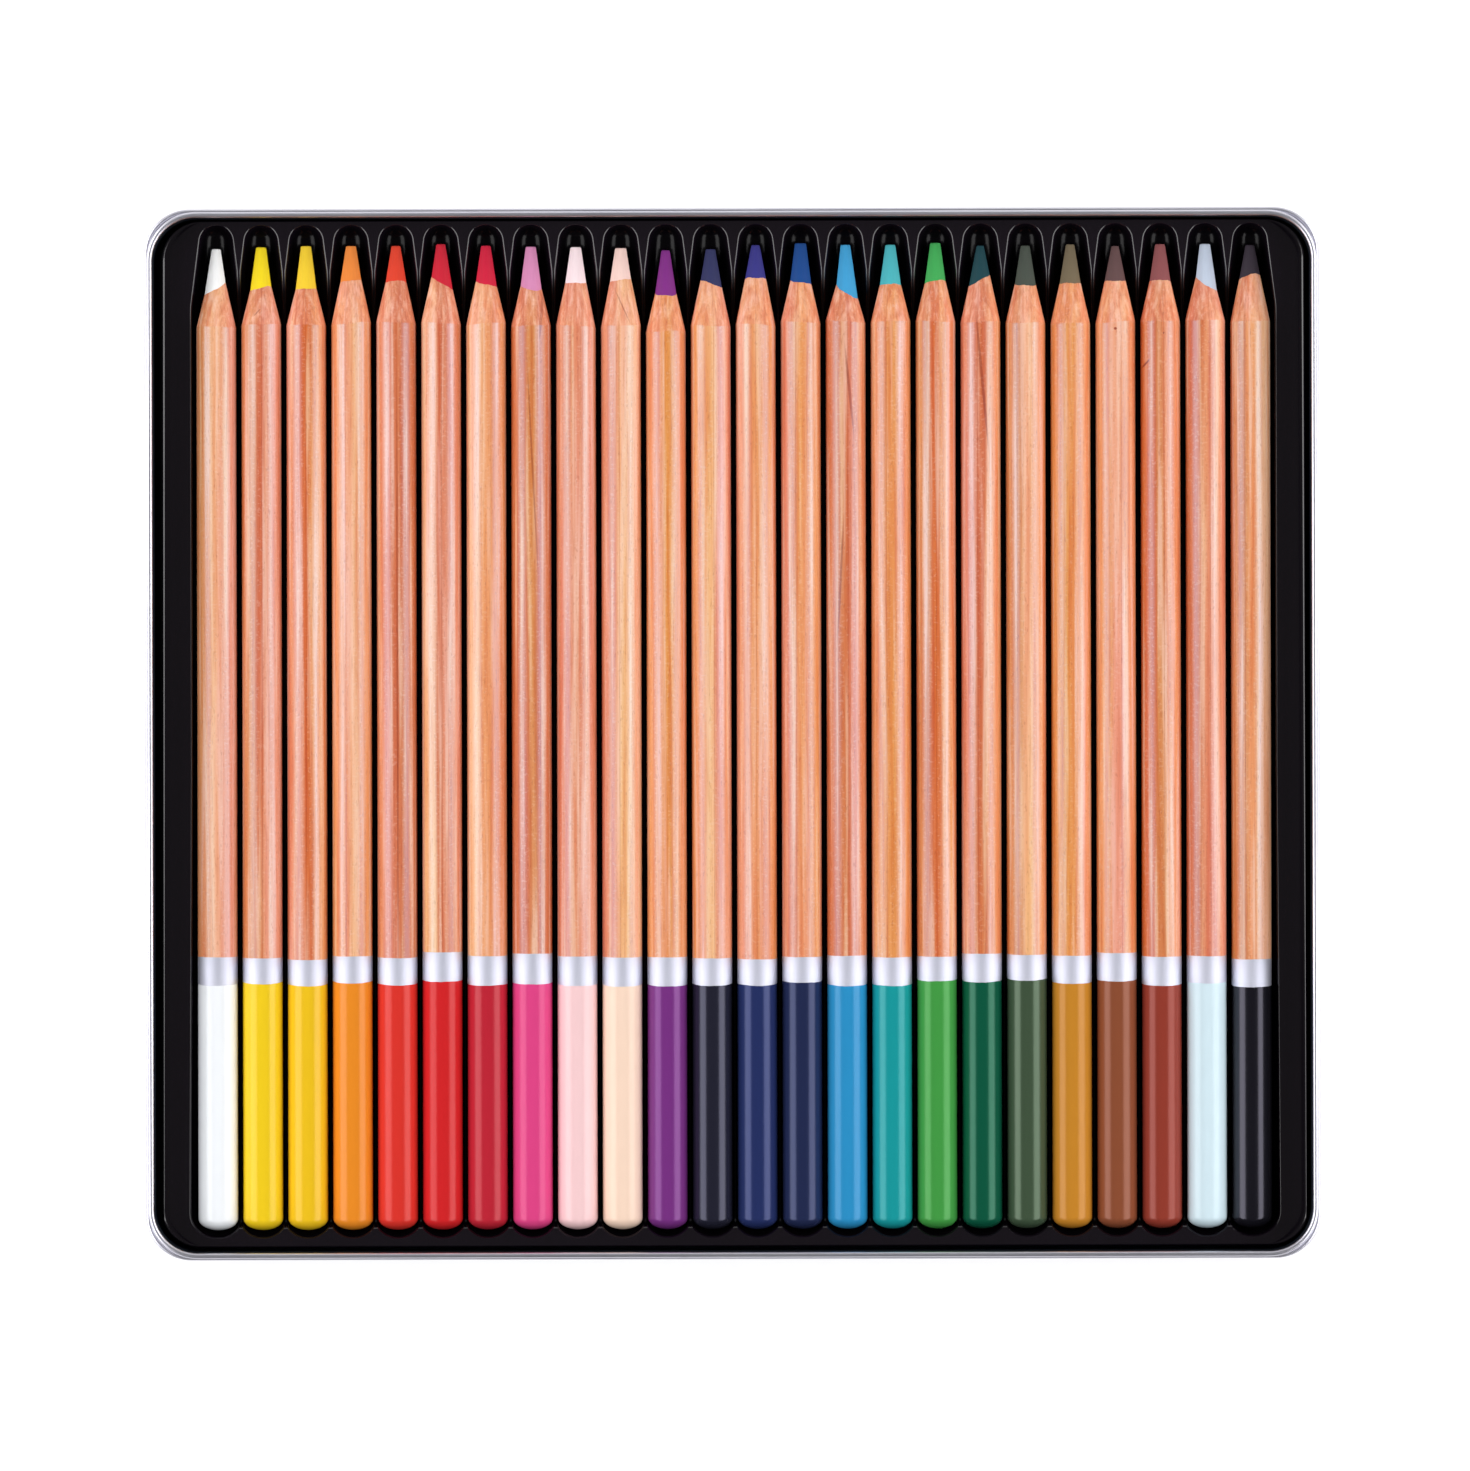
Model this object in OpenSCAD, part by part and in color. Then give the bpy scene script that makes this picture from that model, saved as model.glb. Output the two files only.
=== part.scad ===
// A flat tin of round colored pencils.
// The lid is slipped under the base, open side up, and the base stands in it.
// A black formed tray lies in the base, with one groove for each pencil.
// Frame: X across the tin, +Y towards the pencil points, +Z up, and the
// origin at the middle of the lid's outside face, on which everything rests.

/* [Pencils] */
// Diameter of a pencil
pencil_d = 7.2; // [6.8:0.1:7.6]
// Length of a full pencil, from its domed end to its point
pencil_len = 177.3; // [160:0.1:200]
// Diameter of the colored core
core_d = 3.8; // [3:0.1:4.2]
// Width of the blunt point
point_d = 1.7; // [1:0.1:2.2]
// Length of bare core in front of the wood
bare_core = 7.2; // [4:0.1:9]
// Length of the sharpened wood
wood_cone = 6.8; // [5:0.1:10]
// How far the domed end stands out past the side
dome_rise = 2.1; // [0.8:0.1:2.5]
// Lacquer and wood that close the core off at the domed end
end_cap = 0.4; // [0.2:0.1:1]
// Glue line between the two half slats
slat_glue = 0.04; // [0.02:0.01:0.08]
// Glue line round the core
core_glue = 0.02; // [0.01:0.01:0.05]

/* [Tray] */
// Distance from one groove to the next
pitch = 8.1; // [8:0.05:9]
// Thickness of the formed sheet
tray_t = 0.45; // [0.3:0.05:0.6]
// Air between a pencil and the sides of its groove
groove_side = 0.8; // [0.6:0.05:1]
// Air under a pencil, left by the lacquer
seat_gap = 0.1; // [0.05:0.05:0.2]
// Air between the point and the rounded tip of the groove
point_room = 3.7; // [2:0.1:5]
// Air between the domed end and the end of the groove
end_room = 1.3; // [0.8:0.1:3]
// Length over which a groove narrows towards the point
groove_taper = 11.8; // [6:0.1:14]
// How much the groove's radius shrinks over that length
groove_narrow = 1.04; // [0.5:0.02:1.4]
// Corner radius of the groove's end behind the pencil
groove_end_r = 4.2; // [2:0.1:4.2]
// Flat land outside the first and the last groove
side_land = 5.4; // [3:0.05:10]
// Flat land past the groove tips
point_land = 0.75; // [0.5:0.05:3]
// Flat land past the groove ends
end_land = 1.75; // [0.8:0.05:4]
// Corner radius of the land
tray_corner = 7; // [4:0.1:9]
// Outside radius of the bend between land and skirt
tray_bend = 0.5; // [0.5:0.1:1.2]
// How far the skirt leans out by its foot
skirt_lean = 0.2; // [0.1:0.1:0.8]
// Air between the grooves and the floor of the base
under_gap = 0.3; // [0.3:0.1:1]
// Air between the foot of the skirt and the bend of the base
skirt_gap = 0.1; // [0.1:0.05:0.5]

/* [Base] */
// Thickness of the tinplate, base and lid alike
tin_t = 0.25; // [0.2:0.01:0.3]
// Height of the base
base_h = 12; // [10.5:0.1:14]
// Outside diameter of the rolled edge
curl_d = 1; // [0.9:0.05:1.3]
// Outside radius of the bend between floor and wall
base_bend = 1.4; // [1:0.1:2]
// Corner radius inside the wall
base_corner = 7.8; // [6:0.1:9]
// Air between tray foot and wall, each side, across the tin
tray_gap_x = 0.95; // [0.6:0.05:2]
// Air between tray foot and wall, each side, along the pencils
tray_gap_y = 0.4; // [0.3:0.05:2]

/* [Lid] */
// Height of the lid
lid_h = 8.8; // [6:0.1:10]
// Air between the skirt and the rolled edge of the base
lid_slip = 0.3; // [0.1:0.05:0.3]
// Outside diameter of the skirt's edge, which is rolled inwards and snaps over
// the rolled edge of the base when the tin is shut
lid_curl_d = 0.9; // [0.8:0.05:1]
// Outside radius of the bend between panel and skirt
lid_bend = 0.9; // [0.7:0.1:1.5]
// Corner radius inside the skirt
lid_corner = 7.85; // [6:0.05:9]

/* [How the pieces lie] */
// How far the loose tray has slid across the base
tray_slide_x = 0.3; // [0:0.05:0.5]
// How far the loose tray has slid towards the points
tray_slide_y = 0.2; // [0:0.05:0.3]
// How far the base has slid back in the lid
base_slide_y = 0.1; // [0:0.05:0.3]

/* [Hidden] */
$fn = 64;

// Each pencil: color name, core color, lacquer color, the angle of its glue
// line from upright, and how much sharpening has taken off its length
PENCILS = [
    ["white",           "#f6f6f6", "#fafafa",  84, 0.5],
    ["lemon_yellow",    "#f3d81c", "#ecc61e",   3, 0.2],
    ["golden_yellow",   "#f2bf2c", "#e9b91f",   0, 0.0],
    ["orange",          "#ef7f2d", "#e98a26", -16, 0.0],
    ["vermilion",       "#e2412f", "#d62d29",  78, 0.0],
    ["scarlet",         "#cf243a", "#cc1f26",   2, -0.3],
    ["crimson",         "#c8203f", "#b8212f",  80, 0.0],
    ["magenta_pink",    "#d386b4", "#db3c7f",  27, 0.2],
    ["pale_pink",       "#f6dfe4", "#f4c8cc", -75, 0.3],
    ["peach",           "#f6d0c8", "#f5d3bd",  -5, 0.5],
    ["purple",          "#7f2c84", "#6e2c7c",  85, 0.9],
    ["indigo",          "#2c3566", "#1a1a28",   8, 0.7],
    ["violet_blue",     "#3a3690", "#232e5e",   0, 0.0],
    ["dark_blue",       "#1b488c", "#1c264a", -15, -0.3],
    ["sky_blue",        "#3f9dd2", "#2c8ec6",   5, 0.0],
    ["turquoise",       "#43b0b9", "#16959b", -14, 0.0],
    ["light_green",     "#41a857", "#3d9642",   0, -0.3],
    ["dark_green",      "#1c434c", "#06503a", -10, 0.2],
    ["olive_green",     "#47524a", "#3b4d3a", -27, 0.2],
    ["ochre",           "#756850", "#c28129",  88, 0.0],
    ["brown",           "#644a4a", "#87492f",  15, 0.3],
    ["rust",            "#8f5054", "#8f3a2e",   8, 0.0],
    ["ice_blue",        "#c1ccde", "#d3e8f2",  11, 0.0],
    ["black",           "#38303a", "#131318", -19, 0.2]
];
count = len(PENCILS);
two_digits = function(n) n < 10 ? str("0", n) : str(n);
pencil_name = function(i) str("pencil_", two_digits(i + 1), "_", PENCILS[i][0]);
barrel_name = function(i) str(pencil_name(i), "_barrel");
core_name = function(i) str(pencil_name(i), "_core");

// Overlap that makes joined shapes one solid
weld = 0.01;
// Steps in a quarter of a drawn bend
bend_steps = 5;
// Degrees in one step of a rolled edge, and where each edge stops rolling
curl_step = 15;
curl_end = -60;
lid_curl_end = 225;

// Pencil and groove radii
pencil_r = pencil_d / 2;
core_r = core_d / 2;
point_r = point_d / 2;
groove_r = pencil_r + groove_side;
groove_tip_r = groove_r - groove_narrow;

// Levels, from the outside of the lid upwards
base_z = tin_t;
floor_z = base_z + tin_t;
rim_z = base_z + base_h;
land_z = floor_z + under_gap + tray_t + groove_r;
axis_z = land_z - groove_r + pencil_r + seat_gap;
foot_z = base_z + base_bend + skirt_gap;

// Plan of the tray, seen from above
groove_len = end_room + pencil_len + point_room;
tray_w = (count - 1) * pitch + 2 * groove_r + 2 * side_land;
tray_l = end_land + groove_len + point_land;

// Plan of the base, inside its wall, and of its rolled edge
base_w = tray_w + 2 * (skirt_lean + tray_gap_x);
base_l = tray_l + 2 * (skirt_lean + tray_gap_y);

// Plan of the lid, inside its skirt
lid_w = base_w + 2 * (curl_d + lid_slip);
lid_l = base_l + 2 * (curl_d + lid_slip);

// Where the middles of base and tray lie
base_y = -base_slide_y;
tray_x = tray_slide_x;
tray_y = base_y + tray_slide_y;

// Where a groove starts behind the pencil, and where the pencil starts
groove_y = tray_y - tray_l / 2 + end_land;
pencil_y = groove_y + end_room;
groove_x = function(i) tray_x + (i - (count - 1) / 2) * pitch;

// Points on an arc from angle a to angle b
function arc(center, r, a, b, steps) = [
    for (k = [0:steps])
        let (t = a + (b - a) * k / steps)
        center + r * [cos(t), sin(t)]
];

// Turns a shape drawn along +Z to lie along +Y
module lay_down() {
    rotate([-90, 0, 0])
        children();
}

// Runs a flat profile round a rounded rectangle of w by l with corner radius r.
// The profile's x is the distance outwards from that rectangle, its y is height.
module run_round(w, l, r) {
    for (side = [0, 1]) {
        along = side == 0 ? l - 2 * r : w - 2 * r;
        reach = side == 0 ? w / 2 : l / 2;
        for (turn = [0, 180])
            rotate([0, 0, turn + side * 90])
                translate([reach, along / 2, 0])
                    rotate([90, 0, 0])
                        linear_extrude(along)
                            children();
    }
    for (sx = [-1, 1], sy = [-1, 1])
        translate([sx * (w / 2 - r), sy * (l / 2 - r), 0])
            rotate([0, 0, sx > 0 ? (sy > 0 ? 0 : 270) : (sy > 0 ? 90 : 180)])
                rotate_extrude(angle = 90)
                    translate([r, 0])
                        children();
}

// Flat sheet of w by l with corner radius r
module rounded_sheet(w, l, r, t) {
    linear_extrude(t)
        union() {
            square([w - 2 * r, l], center = true);
            square([w, l - 2 * r], center = true);
            for (sx = [-1, 1], sy = [-1, 1])
                translate([sx * (w / 2 - r), sy * (l / 2 - r)])
                    circle(r);
        }
}

// Drawn wall of the lid: bend, skirt, and the edge rolled inwards and down
module lid_wall_profile() {
    bend = [tin_t - lid_bend, lid_bend];
    curl_r = lid_curl_d / 2;
    curl = [tin_t - curl_r, lid_h - curl_r];
    curl_steps = lid_curl_end / curl_step;
    polygon(concat(
        arc(bend, lid_bend, 270, 360, bend_steps),
        arc(curl, curl_r, 0, lid_curl_end, curl_steps),
        arc(curl, curl_r - tin_t, lid_curl_end, 0, curl_steps),
        arc(bend, lid_bend - tin_t, 360, 270, bend_steps)
    ));
}

module lid() {
    color("silver") {
        run_round(lid_w, lid_l, lid_corner)
            lid_wall_profile();
        inset = lid_bend - tin_t - weld;
        rounded_sheet(lid_w - 2 * inset, lid_l - 2 * inset, lid_corner - inset, tin_t);
    }
}

// Drawn wall of the base: bend, wall, and the edge rolled outwards and down
module base_wall_profile() {
    bend = [tin_t - base_bend, base_bend];
    curl_r = curl_d / 2;
    curl = [curl_r, base_h - curl_r];
    curl_steps = (180 - curl_end) / curl_step;
    polygon(concat(
        arc(bend, base_bend, 270, 360, bend_steps),
        arc(curl, curl_r - tin_t, 180, curl_end, curl_steps),
        arc(curl, curl_r, curl_end, 180, curl_steps),
        arc(bend, base_bend - tin_t, 360, 270, bend_steps)
    ));
}

module tin_base() {
    color("gainsboro")
        translate([0, base_y, base_z]) {
            run_round(base_w, base_l, base_corner)
                base_wall_profile();
            inset = base_bend - tin_t - weld;
            rounded_sheet(base_w - 2 * inset, base_l - 2 * inset, base_corner - inset, tin_t);
        }
}

// Half outline of a groove, from its end behind the pencil to its rounded tip,
// grown outwards by t. The outline's x is radius, its y is length.
module groove_outline(t) {
    tip = groove_len - groove_tip_r;
    taper = tip - groove_taper;
    end_flat = groove_r - groove_end_r;
    union() {
        polygon([
            [0, -t],
            [end_flat, -t],
            [end_flat, groove_end_r],
            [groove_r + t, groove_end_r],
            [groove_r + t, taper],
            [groove_tip_r + t, tip],
            [0, tip]
        ]);
        intersection() {
            translate([end_flat, groove_end_r])
                circle(groove_end_r + t);
            translate([end_flat, -t])
                square(groove_end_r + t);
        }
        intersection() {
            translate([0, tip])
                circle(groove_tip_r + t);
            translate([0, tip])
                square(groove_tip_r + t);
        }
    }
}

module groove_form(t) {
    for (i = [0:count - 1])
        translate([groove_x(i), groove_y, land_z])
            lay_down()
                rotate_extrude()
                    groove_outline(t);
}

// Edge of the tray: land, bend, and a skirt that ends above the base's bend
module tray_skirt_profile() {
    drop = land_z - foot_z;
    bend = [-tray_bend, drop - tray_bend];
    polygon(concat(
        [[-tray_bend - tray_t, drop]],
        arc(bend, tray_bend, 90, 0, bend_steps),
        [[skirt_lean, 0], [skirt_lean - tray_t, 0]],
        arc(bend, tray_bend - tray_t, 0, 90, bend_steps),
        [[-tray_bend - tray_t, drop - tray_t]]
    ));
}

module tray() {
    color([0.06, 0.06, 0.07])
        difference() {
            union() {
                translate([tray_x, tray_y, foot_z])
                    run_round(tray_w, tray_l, tray_corner)
                        tray_skirt_profile();
                inset = tray_bend + tray_t / 2;
                translate([tray_x, tray_y, land_z - tray_t])
                    rounded_sheet(
                        tray_w - 2 * inset, tray_l - 2 * inset, tray_corner - inset, tray_t);
                intersection() {
                    groove_form(tray_t);
                    translate([tray_x - tray_w / 2, tray_y - tray_l / 2, floor_z])
                        cube([tray_w, tray_l, land_z - floor_z]);
                }
            }
            groove_form(0);
        }
}

// Half outline of the wood round the core. The outline's x is radius, its y is
// length from the domed end.
module barrel_outline(len) {
    cone_end = len - bare_core;
    cone_start = cone_end - wood_cone;
    dome_steps = 2 * bend_steps;
    dome = [
        for (k = [0:dome_steps])
            let (t = 90 * k / dome_steps)
            [pencil_r * sin(t), dome_rise * (1 - cos(t))]
    ];
    polygon(concat(
        [[0, end_cap]],
        dome,
        [[pencil_r, cone_start], [core_r, cone_end], [core_r, end_cap]]
    ));
}

module place_pencil(i) {
    translate([groove_x(i), pencil_y, axis_z])
        rotate([0, PENCILS[i][3], 0])
            lay_down()
                children();
}

// Two cedar half slats, glued round the core
module pencil_barrel(i) {
    color("burlywood")
        place_pencil(i)
            for (half = [0, 180])
                rotate([0, 0, half - 90])
                    translate([0, slat_glue / 2, 0])
                        rotate_extrude(angle = 180)
                            barrel_outline(pencil_len - PENCILS[i][4]);
}

module pencil_core(i) {
    len = pencil_len - PENCILS[i][4];
    r = core_r - core_glue;
    color(PENCILS[i][1])
        place_pencil(i)
            rotate_extrude()
                polygon([
                    [0, end_cap + core_glue],
                    [r, end_cap + core_glue],
                    [r, len - bare_core],
                    [point_r, len],
                    [0, len]
                ]);
}

lid();
tin_base();
tray();
for (i = [0:count - 1]) {
    pencil_barrel(i);
    pencil_core(i);
}
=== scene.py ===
import math
import random

import bmesh
import bpy
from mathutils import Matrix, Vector


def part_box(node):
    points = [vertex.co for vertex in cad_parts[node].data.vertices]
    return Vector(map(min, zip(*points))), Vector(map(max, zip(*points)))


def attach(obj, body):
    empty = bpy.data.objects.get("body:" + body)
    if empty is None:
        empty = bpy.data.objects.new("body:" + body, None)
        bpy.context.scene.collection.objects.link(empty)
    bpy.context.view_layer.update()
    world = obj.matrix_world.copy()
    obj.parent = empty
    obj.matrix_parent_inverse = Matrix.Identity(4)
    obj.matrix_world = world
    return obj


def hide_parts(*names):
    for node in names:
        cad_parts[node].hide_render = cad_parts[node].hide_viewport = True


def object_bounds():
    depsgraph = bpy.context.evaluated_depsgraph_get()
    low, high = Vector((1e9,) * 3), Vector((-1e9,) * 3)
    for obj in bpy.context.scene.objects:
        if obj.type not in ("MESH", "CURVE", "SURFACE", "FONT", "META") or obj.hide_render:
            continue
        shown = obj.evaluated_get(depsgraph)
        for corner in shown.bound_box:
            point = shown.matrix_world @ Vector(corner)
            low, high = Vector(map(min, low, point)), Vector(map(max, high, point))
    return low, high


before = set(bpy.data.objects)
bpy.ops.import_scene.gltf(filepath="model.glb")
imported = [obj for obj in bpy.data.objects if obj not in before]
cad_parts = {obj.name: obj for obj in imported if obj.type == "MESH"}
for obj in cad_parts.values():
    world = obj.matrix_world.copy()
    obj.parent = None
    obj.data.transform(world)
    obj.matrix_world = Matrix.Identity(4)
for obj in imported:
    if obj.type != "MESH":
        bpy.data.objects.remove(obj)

cad_low, cad_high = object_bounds()
mm = 0.001


# ---- The lid ----
# Drawn from one sheet of tinplate: a flat panel, a small bend and a skirt whose edge
# is rolled inwards. It lies open side up under the base, which stands in it.

tin_thick = 0.25 * mm
lid_bend = 0.9 * mm
lid_corner = 8.1 * mm
lid_curl = 0.9 * mm
lid_curl_open = 225
corner_steps = 18
bend_steps = 8
curl_steps = 20


class Field:
    """A number, colour or vector that varies over a surface: one output of a node."""

    def __init__(self, finish, socket):
        self.finish = finish
        self.socket = socket

    def math(self, operation, *values):
        return self.finish.node("Math", {"operation": operation}, dict(enumerate(values)))

    def __add__(self, other):
        return self.math("ADD", self, other)

    def __sub__(self, other):
        return self.math("SUBTRACT", self, other)

    def __rsub__(self, other):
        return self.math("SUBTRACT", other, self)

    def __mul__(self, other):
        return self.math("MULTIPLY", self, other)

    def __pow__(self, other):
        return self.math("POWER", self, other)

    def __gt__(self, other):
        return self.math("GREATER_THAN", self, other)

    def __lt__(self, other):
        return self.math("LESS_THAN", self, other)

    __radd__ = __add__
    __rmul__ = __mul__


class Finish:
    """The nodes of one material, light or world."""

    def __init__(self, holder):
        holder.use_nodes = True
        self.holder = holder
        self.offset = (0, 0, 0)
        self.tree = holder.node_tree
        self.tree.nodes.clear()

    def node(self, kind, settings=None, inputs=None, output=0):
        """Adds a node: its settings first, then the values or links of its sockets."""
        made = self.tree.nodes.new("ShaderNode" + kind)
        for name, value in (settings or {}).items():
            if name == "stops":
                ramp = made.color_ramp.elements
                ramp.remove(ramp[1])
                ramp[0].position, ramp[0].color = value[0]
                for place, colour in value[1:]:
                    ramp.new(place).color = colour
            else:
                setattr(made, name, value)
        for name, value in (inputs or {}).items():
            if isinstance(value, Field):
                self.tree.links.new(value.socket, made.inputs[name])
            else:
                made.inputs[name].default_value = value
        return Field(self, made.outputs[output]) if made.outputs else None

    def mix(self, factor, first, second, how="MIX"):
        """Blends two colours."""
        settings = {"data_type": "RGBA", "blend_type": how}
        return self.node("Mix", settings, {0: factor, 6: first, 7: second}, 2)

    def place(self, stretch):
        """The spot on the piece, in millimetres times stretch."""
        spot = self.node("TexCoord", {}, {}, "Object")
        scale = tuple(s / mm for s in stretch)
        return self.node("VectorMath", {"operation": "MULTIPLY"}, {0: spot, 1: scale})

    def noise(self, stretch, detail=2.0, twist=0.0):
        """Soft noise from 0 to 1 with stretch bumps to the millimetre, cut from the finish's own
        place in the noise."""
        vector = self.node("VectorMath", {"operation": "ADD"}, {0: self.place(stretch), 1: self.offset})
        inputs = {"Vector": vector, "Scale": 1.0, "Detail": detail, "Distortion": twist}
        return self.node("TexNoise", {}, inputs, "Fac")

    def ramp(self, field, stops):
        """Turns a number into another by stops of (number, result)."""
        grey = [(at, (result, result, result, 1)) for at, result in stops]
        return self.node("ValToRGB", {"stops": grey}, {"Fac": field})

    def surface(self, inputs, dull=None):
        """Ends the finish in a Principled surface, or in its mix with a dull one, which is given
        as a colour and a share."""
        shader = self.node("BsdfPrincipled", {}, inputs)
        if dull:
            colour, share = dull
            matte = self.node("BsdfDiffuse", {}, {"Color": colour})
            shader = self.node("MixShader", {}, {0: share, 1: shader, 2: matte})
        self.node("OutputMaterial", {}, {"Surface": shader})
        return self.holder


def tint(code):
    """A colour written as six hex digits, as Blender's linear one."""
    shares = [int(code[k:k + 2], 16) / 255 for k in (0, 2, 4)]
    return (*(s / 12.92 if s <= 0.04045 else ((s + 0.055) / 1.055) ** 2.4 for s in shares), 1)


def arc(centre, radius, start, end, steps):
    """Points on a flat arc, with angles in degrees."""
    x, y = centre
    angles = [math.radians(start + (end - start) * k / steps) for k in range(steps + 1)]
    return [Vector((x + radius * math.cos(a), y + radius * math.sin(a))) for a in angles]


def plan(low, high, corner):
    """Points round a rounded rectangle, each with its outward direction."""
    ring = []
    for sx, sy, start in ((1, 1, 0), (-1, 1, 90), (-1, -1, 180), (1, -1, 270)):
        outmost = Vector((high.x if sx > 0 else low.x, high.y if sy > 0 else low.y))
        centre = outmost - Vector((sx, sy)) * corner
        for out in arc((0, 0), 1, start, start + 90, corner_steps):
            ring.append((centre + corner * out, out))
    return ring


def make_piece(name, points, faces, finishes, marks=None, sharp=50):
    """A smooth mesh object with crisp edges where its faces turn by more than sharp degrees.
    Marks are the number of each face's finish."""
    mesh = bpy.data.meshes.new(name)
    mesh.from_pydata([tuple(p) for p in points], [], faces)
    for finish in finishes:
        mesh.materials.append(finish)
    if marks:
        mesh.polygons.foreach_set("material_index", marks)
    mesh.polygons.foreach_set("use_smooth", [True] * len(mesh.polygons))
    mesh.set_sharp_from_angle(angle=math.radians(sharp))
    made = bpy.data.objects.new(name, mesh)
    bpy.context.scene.collection.objects.link(made)
    return made


def drawn_tin(name, ring, profile, finishes, lined):
    """Sweeps an open profile of (outwards, height) round a plan, and closes both its ends with
    panels. The second finish starts at the profile's point number lined."""
    points = [(*(p + n * out), height) for out, height in profile for p, n in ring]
    size = len(ring)
    last = len(profile) - 1
    rows = [[row * size + k for k in range(size)] for row in range(len(profile))]
    faces = []
    for near, far in zip(rows, rows[1:]):
        faces += [(near[k], near[(k + 1) % size], far[(k + 1) % size], far[k]) for k in range(size)]
    faces += [tuple(reversed(rows[0])), tuple(rows[last])]
    marks = [0] * (lined * size) + [1] * ((last - lined) * size) + [0, 1]
    return make_piece(name, points, faces, finishes, marks)


def tinplate():
    """Bright rolled tinplate: fine lines along the sheet and a faint cloudiness."""
    finish = Finish(bpy.data.materials.new("tinplate"))
    lines = finish.noise((0.02, 5, 5), 3)
    cloud = finish.noise((0.05, 0.05, 0.05), 2)
    colour = finish.mix(cloud, tint("cdccd8"), tint("dedde6"))
    dent = finish.node("Bump", {}, {"Strength": 0.04, "Distance": 0.02 * mm, "Height": lines})
    return finish.surface({
        "Base Color": colour,
        "Metallic": 1.0,
        "Roughness": 0.32 + 0.1 * lines + 0.06 * cloud,
        "Normal": dent,
    })


tin_finish = tinplate()
low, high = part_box("lid")
lid_foot = (-lid_bend, low.z + lid_bend)
lid_profile = arc(lid_foot, lid_bend, 270, 360, bend_steps)
lid_roll = (-lid_curl / 2, high.z - lid_curl / 2)
lid_profile += arc(lid_roll, lid_curl / 2, 0, lid_curl_open, curl_steps)
lid_profile += arc(lid_roll, lid_curl / 2 - tin_thick, lid_curl_open, 0, curl_steps)
lid_profile += arc(lid_foot, lid_bend - tin_thick, 360, 270, bend_steps)
lid_plan = plan(low, high, lid_corner)
lid = drawn_tin("lid_shell", lid_plan, lid_profile, [tin_finish, tin_finish], len(lid_profile) - 1)
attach(lid, "lid")
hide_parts("lid")


# ---- The base ----
# Drawn from the same tinplate, deeper than the lid. The top of its wall is
# rolled outwards and down into an edge that is smooth to the hand. Its inside
# is painted blue-black: painted shade for the dark gap between the tray and
# the wall.

curl = 1.0 * mm
base_bend = 1.4 * mm
base_corner = 8.8 * mm
curl_open = -60

low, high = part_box("tin_base")
roll = curl / 2
base_foot = (-curl + tin_thick - base_bend, low.z + base_bend)
roll_middle = (-roll, high.z - roll)
base_profile = arc(base_foot, base_bend, 270, 360, bend_steps)
base_profile += arc(roll_middle, roll - tin_thick, 180, curl_open, curl_steps)
base_profile += arc(roll_middle, roll, curl_open, 180, curl_steps)
inside_starts = len(base_profile) - 1
base_profile += arc(base_foot, base_bend - tin_thick, 360, 270, bend_steps)


def tin_inside_painted_shade():
    """Painted shade: a cloudy blue-black colour over the tinplate inside the tin, for the shade down in it."""
    finish = Finish(bpy.data.materials.new("tin_inside_painted_shade"))
    cloud = finish.noise((0.3, 0.3, 0.3), 2)
    # Painted shade: the blue-black stands in for the dark inside of the tin.
    colour = finish.mix(cloud, tint("11161e"), tint("181f2a"))
    dent = finish.node("Bump", {}, {"Strength": 0.2, "Distance": 0.02 * mm, "Height": cloud})
    return finish.surface({"Base Color": colour, "Roughness": 0.3 + 0.1 * cloud, "Normal": dent})


base_plan = plan(low, high, base_corner)
# The tin's inside takes the painted shade.
base = drawn_tin("base_shell", base_plan, base_profile, [tin_finish, tin_inside_painted_shade()], inside_starts)
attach(base, "tin_base")
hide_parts("tin_base")


# ---- The tray ----
# Formed from one glossy black plastic sheet: a flat land with a bent skirt, and
# a round groove for each pencil that narrows to a rounded tip.

COLOURS = (
    "white lemon_yellow golden_yellow orange vermilion scarlet crimson magenta_pink pale_pink "
    "peach purple indigo violet_blue dark_blue sky_blue turquoise light_green dark_green "
    "olive_green ochre brown rust ice_blue black"
).split()
PENCIL_NAMES = [f"pencil_{number + 1:02d}_{colour}" for number, colour in enumerate(COLOURS)]
axes = [(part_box(name + "_core")[0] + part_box(name + "_core")[1]) / 2 for name in PENCIL_NAMES]
pitch = (axes[-1].x - axes[0].x) / (len(axes) - 1)

sheet_thick = 0.45 * mm
groove_radius = 4.4 * mm
groove_narrows = 1.5 * mm
taper_length = 11.8 * mm
taper_blend = 12 * mm
end_radius = 4.4 * mm
end_land = 1.75 * mm
tip_land = 0.75 * mm
skirt_lean = 0.2 * mm
edge_round = 0.5 * mm
hollow_round = 0.02 * mm
land_margin = 0.15 * mm
side_bend = 0.22 * mm
tip_bend = 0.14 * mm
dish_drop = 0.12 * mm
dish_width = 1.2 * mm
dish_flank = 0.36 * mm
dish_least = 0.02 * mm
dish_spread = 1.5
flare = 0.5 * mm
flare_length = 85 * mm
skirt_gap = 0.1 * mm
land_corner = 7.0 * mm
weld_gap = 0.004 * mm
end_steps = 16
straight_steps = 8
blend_steps = 3
taper_steps = 6
tip_steps = 18
wall_steps = 11
round_steps = 5
dish_steps = 5
flank_steps = 6
sheet_sharp = 60
# Depths below the land over which the grooves turn rougher and take painted shade.
dull_and_shade_from = 0.5 * mm
dull_and_shade_whole = 1.6 * mm
ramp_span = 10 * mm

tray_low, tray_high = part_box("tray")
land_z = tray_high.z
land_low = Vector((tray_low.x + skirt_lean, tray_low.y + skirt_lean))
land_high = Vector((tray_high.x - skirt_lean, tray_high.y - skirt_lean))
skirt_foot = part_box("tin_base")[0].z + base_bend + skirt_gap
groove_start = land_low.y + end_land
groove_length = land_high.y - tip_land - groove_start


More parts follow.
